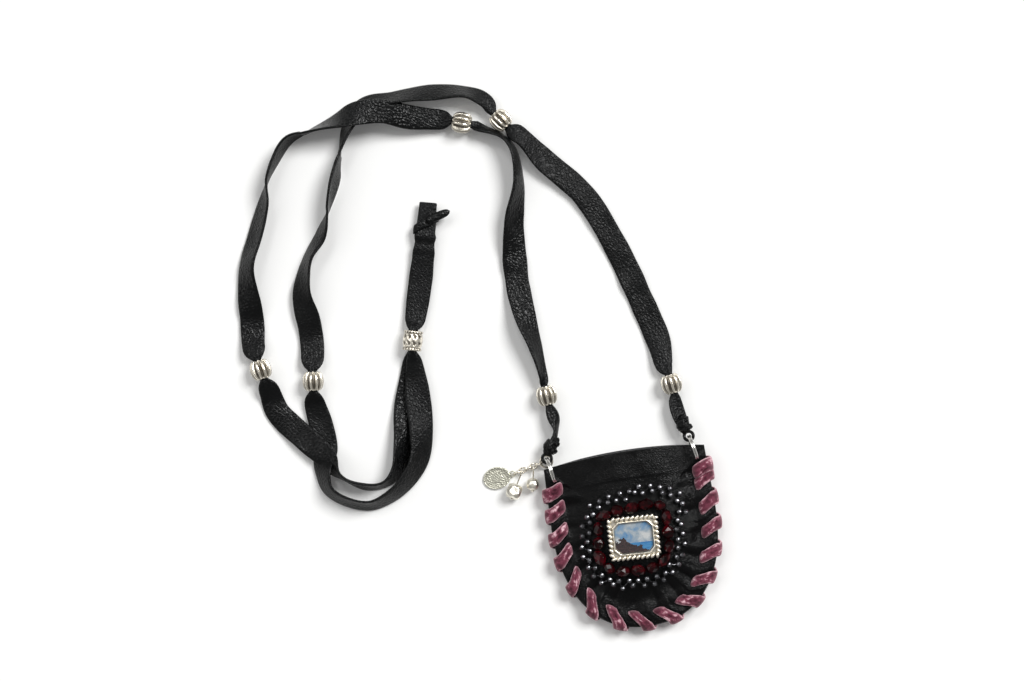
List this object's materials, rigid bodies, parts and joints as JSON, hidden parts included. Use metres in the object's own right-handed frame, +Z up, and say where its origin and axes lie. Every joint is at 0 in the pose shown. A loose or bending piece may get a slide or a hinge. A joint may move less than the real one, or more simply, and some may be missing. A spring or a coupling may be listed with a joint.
{
  "type": "beaded medicine bag",
  "caption": "Small laced leather pouch on a flat leather neck lace, with a framed picture, stones and strung beads on its front and silver charms at one corner.",
  "frame": {"origin": "on the table under the middle of the pouch's back, at the back_rest face", "axes": "+X to the right of the pouch as its front is seen, +Y towards its mouth, +Z up out of the front"},
  "size_m": [0.1869, 0.2397, 0.0157],
  "materials": {
    "pouch_leather": "soft black pebble grain",
    "strap_leather": "smooth black grain side, matt flesh side",
    "velvet": "mauve velvet ribbon",
    "antique_silver": "cast and darkened in the recesses",
    "bright_silver": "polished",
    "print": "matt print",
    "clear_tile": "clear, polished",
    "garnet": "faceted and polished",
    "hematite": "near black, metallic shine"
  },
  "bodies": {
    "pouch": {"front_panel": "pouch_leather", "back_panel": "pouch_leather", "edge_lacing": "velvet", "bezel_frame": "antique_silver", "picture_card": "print", "glass_tile": "clear_tile", "garnet_01": "garnet", "garnet_02": "garnet", "garnet_03": "garnet", "garnet_04": "garnet", "garnet_05": "garnet", "garnet_06": "garnet", "garnet_07": "garnet", "garnet_08": "garnet", "garnet_09": "garnet", "garnet_10": "garnet", "garnet_11": "garnet", "garnet_12": "garnet", "garnet_13": "garnet", "garnet_14": "garnet", "garnet_15": "garnet", "garnet_16": "garnet", "hematite_string": "hematite", "neck_lace": "strap_leather", "melon_bead_l1": "antique_silver", "melon_bead_l2": "antique_silver", "melon_bead_l3": "antique_silver", "melon_bead_r1": "antique_silver", "melon_bead_r2": "antique_silver", "melon_bead_r3": "antique_silver", "tail_tie": "strap_leather"},
    "left_ring": {"left_ring": "bright_silver"},
    "right_ring": {"right_ring": "bright_silver"},
    "charm_chain": {"charm_jump_ring": "bright_silver", "chain_link_1": "bright_silver", "chain_link_2": "bright_silver", "chain_link_3": "bright_silver", "chain_link_4": "bright_silver", "chain_link_5": "bright_silver"},
    "small_charm": {"nugget_small": "bright_silver", "pin_small": "bright_silver"},
    "large_charm": {"nugget_large": "bright_silver", "pin_large": "bright_silver"},
    "disc": {"disc_charm": "bright_silver"},
    "slider": {"slider_bead": "antique_silver"}
  },
  "joints": [
    {"name": "left_ring_tilt", "type": "hinge", "parent": "pouch", "child": "left_ring", "pos_m": [-0.03091, 0.03454, 0.005], "axis": [-0.1736, 0.9848, 0], "range_deg": [-8, 18]},
    {"name": "right_ring_tilt", "type": "hinge", "parent": "pouch", "child": "right_ring", "pos_m": [0.02909, 0.03454, 0.005], "axis": [-0.1736, 0.9848, 0], "range_deg": [-18, 18]},
    {"name": "charm_swing", "type": "hinge", "parent": "pouch", "child": "charm_chain", "pos_m": [-0.0316, 0.03846, 0.0024], "axis": [0, 0, 1], "range_deg": [-40, 6]},
    {"name": "small_charm_swing", "type": "hinge", "parent": "charm_chain", "child": "small_charm", "pos_m": [-0.03776, 0.03715, 0.0022], "axis": [0, 0, 1], "range_deg": [-3, 12]},
    {"name": "large_charm_swing", "type": "hinge", "parent": "charm_chain", "child": "large_charm", "pos_m": [-0.04265, 0.03612, 0.00185], "axis": [0, 0, 1], "range_deg": [-3, 3]},
    {"name": "disc_swing", "type": "hinge", "parent": "charm_chain", "child": "disc", "pos_m": [-0.04637, 0.03533, 0.00155], "axis": [0, 0, 1], "range_deg": [-25, 3]},
    {"name": "slider_slide", "type": "slide", "parent": "pouch", "child": "slider", "axis": [0.2551, 0.9669, 0], "range_m": [-0.012, 0.036], "deforming": ["neck_lace"]}
  ]
}
